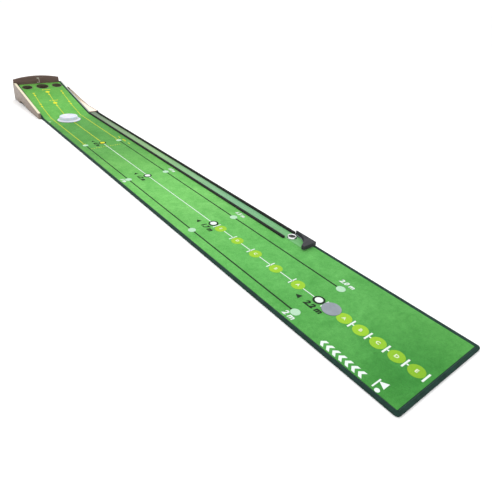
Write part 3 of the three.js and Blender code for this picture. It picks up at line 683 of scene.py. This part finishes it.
def stitch_row(x, y, count, across=False):
    """One row of stitches, each a short rounded bead of thread sunk into the tape."""
    bpy.ops.object.select_all(action="DESELECT")
    bpy.ops.mesh.primitive_cube_add(size=1, location=(x, y, 0.00112))
    stitch = bpy.context.object
    plan = (STITCH_LENGTH, STITCH_WIDTH) if across else (STITCH_WIDTH, STITCH_LENGTH)
    stitch.scale = (*plan, STITCH_HEIGHT)
    settle(stitch, "stitch")
    pick(stitch, lambda middle, along: middle.z > 0.001, "EDGE")
    bpy.ops.mesh.bevel(offset=0.00025, segments=1, affect="EDGES")
    leave()
    apply(stitch, "ARRAY", count=count, use_relative_offset=False, use_constant_offset=True,
          constant_offset_displace=(STITCH_PITCH, 0, 0) if across else (0, STITCH_PITCH, 0))
    return stitch


seam = BINDING_WIDTH - 0.0028
long_run = int((fold_start - edge[0].y - 0.02) / STITCH_PITCH)
cross_run = int((edge[1].x - edge[0].x - 0.022) / STITCH_PITCH)
right_run, left_run = (
    int((end - fold_start - 0.006) / STITCH_PITCH) for end in (right_tape_end, left_tape_end))
stitches = join_up([
    stitch_row(edge[0].x + seam, edge[0].y + 0.013, long_run),
    stitch_row(edge[1].x - seam, edge[0].y + 0.013, long_run),
    stitch_row(edge[0].x + 0.013, edge[0].y + seam, cross_run, True),
    stitch_row(right_tape_x - 0.0019, fold_start + 0.004, right_run),
    stitch_row(left_tape_x + 0.0027, fold_start + 0.004, left_run),
], "binding_stitches")
lay_on_mat(stitches)
thread, nodes, links, surface = shader("stitch_thread", Roughness=0.55)
twist = texture(nodes, "ShaderNodeTexWave", bands_direction="DIAGONAL", Scale=900.0)
links.new(mapped(nodes, links), twist.inputs["Vector"])
spun = ramp(nodes, links, twist.outputs["Fac"],
            (0.2, (0.012, 0.045, 0.030)), (0.8, (0.03, 0.095, 0.062)))
links.new(spun, surface.inputs["Base Color"])
done(stitches, thread)


# ---- ball-return track ----
# A strip of ribbed clear film lies on the turf between two ribbed rubber rails, glued down.
# The outer rail stands on the binding and turns outwards where it meets the chute.

def ribbed_rubber(name, dark=(0.006, 0.0065, 0.006), light=(0.017, 0.019, 0.017)):
    material, nodes, links, surface = shader(name, Roughness=0.62, Specular_IOR_Level=0.35)
    vector = mapped(nodes, links)
    dust = speckle(nodes, links, vector, 90.0, 5.0, 0.65)
    grain = speckle(nodes, links, vector, 1500.0, 2.0)
    links.new(ramp(nodes, links, dust, (0.3, dark), (0.75, light)), surface.inputs["Base Color"])
    bump(nodes, links, surface, grain, 0.25, 0.0003)
    return material


RIB = 0.004
rail_rubber = ribbed_rubber("rail_rubber")


def rail(node, name, flare=0.0, flare_length=0.07):
    """A ribbed D-shaped rubber strip with a hollow near end."""
    low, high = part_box(node)
    end = high.y
    width = high.x - low.x - flare
    middle = low.x + width / 2
    bpy.ops.object.select_all(action="DESELECT")
    bpy.ops.mesh.primitive_circle_add(
        vertices=20, radius=width / 2, fill_type="NOTHING", rotation=(math.pi / 2, 0, 0),
        location=(middle, low.y, low.z + width / 2))
    strip = settle(bpy.context.object, name)
    for corner in strip.data.vertices:
        if corner.co.z > low.z + width / 2 - 0.0001:
            corner.co.z += high.z - low.z - width
        else:
            side = 1 if corner.co.x > middle else -1
            if corner.co.z < low.z + width * 0.3:
                corner.co.z = low.z
            if abs(corner.co.x - middle) > width * 0.2:
                corner.co.x = middle + side * width / 2
    pick(strip, lambda middle, along: True, "EDGE")
    for move, size in ((0.0011, 1.0), (0.0009, 0.93), (0.0011, 0.93), (0.0009, 1 / 0.93 ** 2)):
        bpy.ops.mesh.extrude_region_move(TRANSFORM_OT_translate={"value": (0, move, 0)})
        bpy.ops.transform.resize(
            value=(size, 1, size), center_override=(middle, low.y, low.z))
    leave()
    apply(strip, "ARRAY", count=math.ceil((end - low.y) / RIB), use_relative_offset=False,
          use_constant_offset=True, constant_offset_displace=(0, RIB, 0),
          use_merge_vertices=True, merge_threshold=0.00012)
    pick(strip, lambda centre, normal: True)
    bpy.ops.mesh.bisect(plane_co=(0, end, 0), plane_no=(0, 1, 0), clear_outer=True)
    leave()
    pick(strip, lambda middle, along: middle.y < low.y + 0.0001 or middle.y > end - 0.0001, "EDGE")
    bpy.ops.mesh.fill_holes(sides=0)
    leave()
    outward(strip, 45)
    pick(strip, lambda centre, normal: normal.y < -0.9 and centre.y < low.y + 0.0005
         and abs(centre.z - (low.z + high.z) / 2) < 0.002)
    bpy.ops.mesh.inset(thickness=0.0022)
    bpy.ops.mesh.extrude_region_move(TRANSFORM_OT_translate={"value": (0, 0.018, 0)})
    leave()
    bend = end - flare_length
    for corner in strip.data.vertices:
        if flare and corner.co.y > bend:
            corner.co.x += flare * ((corner.co.y - bend) / flare_length) ** 2
    outward(strip, 45)
    return done(strip, rail_rubber, stands_for=(node,))


rail("inner_rail", "inner_rail_strip")
rail("outer_rail", "outer_rail_strip", flare=0.010)

film_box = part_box("track_film")
film_ribs = 20
bpy.ops.object.select_all(action="DESELECT")
bpy.ops.mesh.primitive_grid_add(
    x_subdivisions=2 * film_ribs, y_subdivisions=90, size=1,
    location=((film_box[0].x + film_box[1].x) / 2, (film_box[0].y + film_box[1].y) / 2,
              film_box[1].z - 0.0005))
film = bpy.context.object
film.scale = (film_box[1].x - film_box[0].x, film_box[1].y - film_box[0].y, 1)
settle(film, "ribbed_film")
rib_pitch = (film_box[1].x - film_box[0].x) / (2 * film_ribs)
pick(film, lambda place, normal: round((place.x - film_box[0].x) / rib_pitch) % 2 == 1, "VERT")
bpy.ops.transform.translate(value=(0, 0, 0.0004))
leave()
apply(film, "SOLIDIFY", thickness=0.0005, offset=-1)
only(film)
bpy.ops.object.shade_smooth_by_angle(angle=math.radians(50))
clear, nodes, links, surface = shader("clear_ribbed_film", Roughness=0.4, Specular_IOR_Level=0.2)
vector = mapped(nodes, links)
parts = nodes.new("ShaderNodeSeparateXYZ")
links.new(vector, parts.inputs["Vector"])
# the film hazes over towards the base: a share of its length and the colour seen through it
seen = ramp(nodes, links, share(nodes, links, parts.outputs["Y"], film_box[0].y, film_box[1].y),
            (0.00, (0.140, 0.440, 0.135)), (0.06, (0.150, 0.410, 0.165)), (0.20, (0.180, 0.420, 0.225)),
            (0.56, (0.245, 0.450, 0.195)), (0.78, (0.205, 0.330, 0.170)), (1.00, (0.120, 0.175, 0.110)))
haze = speckle(nodes, links, mapped(nodes, links, scale=(1, 0.22, 1)), 40.0, 5.0, 0.7, 0.8)
scuffs = speckle(nodes, links, mapped(nodes, links, scale=(260, 5, 1)), 1.0, 4.0, 0.7)
cloudy = ramp(nodes, links, haze, (0.35, (0.78, 0.84, 0.76)), (0.65, (1.0,) * 3))
rub = ramp(nodes, links, scuffs, (0.35, (0.84,) * 3), (0.65, (1.0,) * 3))
seen = blend_colours(nodes, links, 1.0, seen, cloudy, "MULTIPLY")
links.new(blend_colours(nodes, links, 0.8, seen, rub, "MULTIPLY"), surface.inputs["Base Color"])
bump(nodes, links, surface, scuffs, 0.15, 0.0003)
done(film, clear, stands_for=("track_film",))


# ---- ball rest: chromed ring and its rubber pad ----
# The ball comes to rest on a low chromed ring. A black rubber pad fills the ring's middle.

def turned(name, x, y, rings, corners=96):
    """A turned piece: a disc drawn out ring by ring, each ring a radius and a height."""
    radius, height = rings[0]
    bpy.ops.object.select_all(action="DESELECT")
    bpy.ops.mesh.primitive_circle_add(
        vertices=corners, radius=radius, fill_type="NGON", location=(x, y, height))
    piece = settle(bpy.context.object, name)
    pick(piece, lambda centre, normal: True)
    for wider, higher in rings[1:]:
        bpy.ops.mesh.extrude_region_move(TRANSFORM_OT_translate={"value": (0, 0, higher - height)})
        bpy.ops.transform.resize(
            value=(wider / radius, wider / radius, 1), center_override=(x, y, higher))
        radius, height = wider, higher
    leave()
    outward(piece, 28)
    return piece


def plain_metal(name, tint, roughness):
    material, nodes, links, surface = shader(name, Metallic=1.0)
    vector = mapped(nodes, links)
    smears = speckle(nodes, links, vector, 160.0, 4.0, 0.6)
    smeared = ramp(nodes, links, smears, (0.3, [c * 0.86 for c in tint]), (0.7, tint))
    links.new(smeared, surface.inputs["Base Color"])
    rough = texture(nodes, "ShaderNodeMapRange")
    rough.inputs["To Min"].default_value = roughness * 0.7
    rough.inputs["To Max"].default_value = roughness * 1.4
    links.new(smears, rough.inputs["Value"])
    links.new(rough.outputs["Result"], surface.inputs["Roughness"])
    bump(nodes, links, surface, smears, 0.05, 0.0002)
    return material


chrome = plain_metal("polished_chrome", (0.90, 0.91, 0.92), 0.14)
wear(frame["nodes"]["ball_rest_ring"], chrome)
wear(frame["nodes"]["ball_rest_pad"], rail_rubber)


# ---- ball stop ----
# A moulded charcoal rubber block laid over the end of the track. Its hollowed side catches the
# ball, its edges are rounded and a thin grey grip pad is glued below it.

def moulded(name, dark, light, roughness=0.6, grain=0.3):
    material, nodes, links, surface = shader(name, Roughness=roughness, Specular_IOR_Level=0.2)
    vector = mapped(nodes, links)
    bloom = speckle(nodes, links, vector, 45.0, 5.0, 0.6)
    pores = speckle(nodes, links, vector, 1100.0, 3.0, 0.6)
    links.new(ramp(nodes, links, bloom, (0.3, dark), (0.72, light)), surface.inputs["Base Color"])
    bump(nodes, links, surface, pores, grain, 0.0004)
    return material


def remade(node, name, soften, segments=3):
    """A copy of a structural piece's own shape, with its edges softened."""
    bpy.ops.object.select_all(action="DESELECT")
    source = frame["nodes"][node]
    piece = bpy.data.objects.new(name, source.data.copy())
    bpy.context.collection.objects.link(piece)
    piece.data.name = name
    only(piece)
    bpy.ops.object.mode_set(mode="EDIT")
    bpy.ops.mesh.select_all(action="SELECT")
    bpy.ops.mesh.remove_doubles(threshold=0.00002)
    bpy.ops.mesh.dissolve_limited(angle_limit=math.radians(1))
    leave()
    apply(piece, "BEVEL", width=soften, segments=segments, limit_method="ANGLE",
          angle_limit=math.radians(28), use_clamp_overlap=True)
    only(piece)
    bpy.ops.object.shade_smooth_by_angle(angle=math.radians(40))
    return piece


charcoal = moulded("charcoal_rubber", (0.020, 0.021, 0.025), (0.046, 0.048, 0.054), 0.6)
stop = remade("ball_stop", "ball_stop_block", 0.0012)
done(stop, charcoal, "ball_stop", ("ball_stop",))
grey_rubber = moulded("grey_rubber", (0.28, 0.31, 0.34), (0.40, 0.43, 0.46), 0.7)
wear(frame["nodes"]["ball_stop_grip_pad"], grey_rubber)


# ---- target cup ----
# A low frosted plastic cup turned upside down, to putt at. Its brim lies on a grey grip ring,
# and its top is dished. Fine steps run round the shoulder and the dish.

cup_low, cup_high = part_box("target_cup")
brim = (cup_high.x - cup_low.x) / 2
shoulder = brim - 0.0125
base_z, top_z = cup_low.z, cup_high.z
cup = turned("target_cup_shell", *((cup_low + cup_high) / 2).xy, [
    (0.008, top_z - 0.0050), (shoulder - 0.015, top_z - 0.0050), (shoulder - 0.006, top_z - 0.0045),
    (shoulder - 0.0032, top_z - 0.008), (shoulder - 0.002, base_z + 0.006), (shoulder - 0.002, base_z),
    (brim - 0.0006, base_z), (brim, base_z + 0.0007), (brim, base_z + 0.0015),
    (brim - 0.0006, base_z + 0.0021), (brim - 0.004, base_z + 0.0024),
    (brim - 0.0046, base_z + 0.0031), (brim - 0.009, base_z + 0.0036),
    (shoulder + 0.0022, base_z + 0.0046), (shoulder + 0.0008, base_z + 0.0066),
    (shoulder, top_z - 0.0060), (shoulder - 0.0006, top_z - 0.0032),
    (shoulder - 0.0020, top_z - 0.0010), (shoulder - 0.0042, top_z),
    (shoulder - 0.0075, top_z), (shoulder - 0.0090, top_z - 0.0008),
    (shoulder - 0.0130, top_z - 0.0026), (shoulder - 0.0150, top_z - 0.0030), (0.020, top_z - 0.0030),
    (0.0185, top_z - 0.0024), (0.0160, top_z - 0.0024), (0.0145, top_z - 0.0030)])
frosted, nodes, links, surface = shader(
    "frosted_plastic", Roughness=0.38, Subsurface_Weight=0.25, Subsurface_Scale=0.004,
    Coat_Weight=0.15, Coat_Roughness=0.25)
vector = mapped(nodes, links)
milk = speckle(nodes, links, vector, 30.0, 4.0, 0.55)
frost = speckle(nodes, links, vector, 1400.0, 2.0)
milky = ramp(nodes, links, milk, (0.3, (0.53, 0.55, 0.67)), (0.7, (0.63, 0.66, 0.75)))
links.new(milky, surface.inputs["Base Color"])
bump(nodes, links, surface, frost, 0.2, 0.0002)
done(cup, frosted, "target", ("target_cup",))
wear(frame["nodes"]["target_grip_ring"], grey_rubber)


# ---- ball spot disc ----
# A thin grey rubber disc that marks where the ball is placed, with a raised rim and a
# shallow dimple for the ball.

spot_radius = (spot_high.x - spot_low.x) / 2
spot = turned("ball_spot_pad", line_x, spot_y, [
    (spot_radius - 0.0003, spot_low.z), (spot_radius, spot_low.z + 0.0003),
    (spot_radius, spot_high.z - 0.0004), (spot_radius - 0.0004, spot_high.z),
    (spot_radius - 0.0016, spot_high.z), (spot_radius - 0.0020, spot_high.z - 0.0003),
    (0.0060, spot_high.z - 0.0003), (0.0045, spot_high.z - 0.0007),
    (0.0020, spot_high.z - 0.0009)])
spot_rubber = moulded("spot_rubber", (0.21, 0.235, 0.27), (0.27, 0.30, 0.34), 0.75, 0.2)
done(spot, spot_rubber, "spot_disc", ("ball_spot_disc",))


# ---- wooden base ----
# Taupe-stained side panels, the left one paler on its top faces and the right one painted pale
# inside as light falling on it, and a dark walnut backstop with a small printed flag. The deck and the
# chute floor are plywood, the floor bare on top and painted dark red-brown elsewhere as shade.
# The rails, tray and dowels below are beech.

def wood(name, dark, light, along=(60, 4, 60), roughness=0.5, pale=None, pale_way=None):
    """Straight-grained wood. Where pale is given, the faces that look along pale_way take the pale
    colour instead.
    """
    material, nodes, links, surface = shader(name, Roughness=roughness)
    figure = speckle(nodes, links, mapped(nodes, links, scale=along), 3.0, 4.0, 0.55, 1.2)
    pores = speckle(nodes, links, mapped(nodes, links, scale=[s * 9 for s in along]), 1.0, 3.0, 0.7)
    middle = [(a + b) / 2 for a, b in zip(dark, light)]
    tone = ramp(nodes, links, figure, (0.25, dark), (0.5, middle), (0.72, light))
    pitted = ramp(nodes, links, pores, (0.3, (0.82,) * 3), (0.5, (1.0,) * 3))
    colour = blend_colours(nodes, links, 0.8, tone, pitted, "MULTIPLY")
    # a colour picked by which way a face looks: painted light on the right panel's inner face
    if pale:
        shape = nodes.new("ShaderNodeNewGeometry")
        facing = texture(nodes, "ShaderNodeVectorMath", operation="DOT_PRODUCT")
        links.new(shape.outputs["Normal"], facing.inputs[0])
        facing.inputs[1].default_value = pale_way
        facing_tint = ramp(nodes, links, figure, (0.3, [c * 0.86 for c in pale]), (0.7, pale))
        colour = blend_colours(
            nodes, links, share(nodes, links, facing.outputs["Value"], 0.4, 0.6), colour, facing_tint)
    links.new(colour, surface.inputs["Base Color"])
    bump(nodes, links, surface, pores, 0.2, 0.0003)
    bump(nodes, links, surface, figure, 0.1, 0.0004)
    return material


TAUPE = ((0.175, 0.128, 0.098), (0.255, 0.195, 0.150))
left_wood = wood("taupe_ash_left", *TAUPE, pale=(0.72, 0.66, 0.48), pale_way=(0, 0, 1))
# the right panel's inner face is painted pale, as light falling on it
right_wood = wood("taupe_ash_right_lit_inside", *TAUPE, pale=(0.98, 0.84, 0.70), pale_way=(-1, 0, 0))
walnut = wood("dark_walnut", (0.066, 0.035, 0.027), (0.130, 0.074, 0.056),
              along=(4, 60, 60), roughness=0.5)
plywood = wood("plywood", (0.60, 0.46, 0.32), (0.80, 0.66, 0.50), roughness=0.6)
# painted shade: the chute floor is dark red-brown on all but its top, which is bare plywood
chute_ply = wood("chute_plywood_painted_shade", (0.13, 0.045, 0.035), (0.20, 0.080, 0.060), roughness=0.6,
                 pale=(0.90, 0.76, 0.64), pale_way=(0, 0, 1))
beech = wood("raw_beech", (0.52, 0.36, 0.22), (0.68, 0.51, 0.34), roughness=0.6)
panel = remade("left_side_panel", "left_panel_board", 0.0007, 2)
done(panel, left_wood, stands_for=("left_side_panel",))
panel = remade("right_side_panel", "right_panel_board", 0.0006, 2)
done(panel, right_wood, stands_for=("right_side_panel",))
backstop = remade("backstop_board", "backstop_plank", 0.0008, 2)
done(backstop, walnut, stands_for=("backstop_board",))
board_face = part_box("backstop_board")[0].y
PRINT_DEPTH = 0.0008
# the flag's pole, pennant and foot: the place across, the height, the width and the length
FLAG_PARTS = ((0.008, 0.121, 0.0028, 0.030), (0.0015, 0.1345, 0.011, 0.006),
              (-0.002, 0.1085, 0.011, 0.003))
flag = []
for x, z, wide, high in FLAG_PARTS:
    bpy.ops.object.select_all(action="DESELECT")
    bpy.ops.mesh.primitive_cube_add(size=1, location=(line_x + x, board_face + 0.0001, z))
    bpy.context.object.scale = (wide, PRINT_DEPTH, high)
    flag.append(bpy.context.object)
pale_print = moulded("pale_print", (0.42, 0.40, 0.33), (0.55, 0.53, 0.45), 0.6, 0.1)
done(join_up(flag, "backstop_flag"), pale_print)
wear(frame["nodes"]["ramp_deck"], plywood)
wear(frame["nodes"]["chute_floor"], chute_ply)
for node in ("front_cross_rail", "middle_cross_rail", "dowel_1", "dowel_2", "ball_tray",
             "tray_front_wall", "chute_floor_bearer_1", "chute_floor_bearer_2"):
    wear(frame["nodes"][node], beech)
wear(frame["nodes"]["chute_end_block"], walnut)
grey_board = moulded("grey_board_paint", (0.30, 0.33, 0.30), (0.40, 0.43, 0.39), 0.6, 0.15)
wear(frame["nodes"]["chute_inner_wall"], grey_board)


# ---- cup rings, screws, feet, backing and hook tape ----
# Moulded plastic rings line the holes, coloured dark olive as painted shade inside the holes.
# Zinc-plated screws hold the backstop to the deck. The backing is foam rubber, with feet of the same
# rubber below the panels.

# painted shade: the rings take the dark olive of the shade inside the holes
cup_plastic, nodes, links, surface = shader("cup_plastic", Roughness=0.45)
scuffs = speckle(nodes, links, mapped(nodes, links), 220.0, 4.0, 0.65)
links.new(ramp(nodes, links, scuffs, (0.3, (0.065, 0.062, 0.040)), (0.7, (0.115, 0.110, 0.075))),
          surface.inputs["Base Color"])
bump(nodes, links, surface, scuffs, 0.15, 0.0003)
for side in ("left", "centre", "right"):
    wear(frame["nodes"][f"{side}_cup_ring"], cup_plastic)
zinc = plain_metal("zinc_plate", (0.62, 0.63, 0.64), 0.32)
for i in range(1, 5):
    wear(frame["nodes"][f"backstop_screw_{i}"], zinc)
foam = moulded("foam_rubber", (0.010, 0.012, 0.010), (0.030, 0.034, 0.030), 0.9, 0.6)
# the notch pad is a dark foam sheet set inside the panel's notch as painted shade
for node in ("rubber_backing", "ramp_backing", "left_front_foot", "left_back_foot",
             "right_front_foot", "right_back_foot", "notch_pad"):
    wear(frame["nodes"][node], foam)
hooks = moulded("hook_tape_cloth", (0.008, 0.008, 0.008), (0.025, 0.025, 0.025), 0.95, 0.8)
for i in (1, 2):
    wear(frame["nodes"][f"hook_tape_{i}"], hooks)
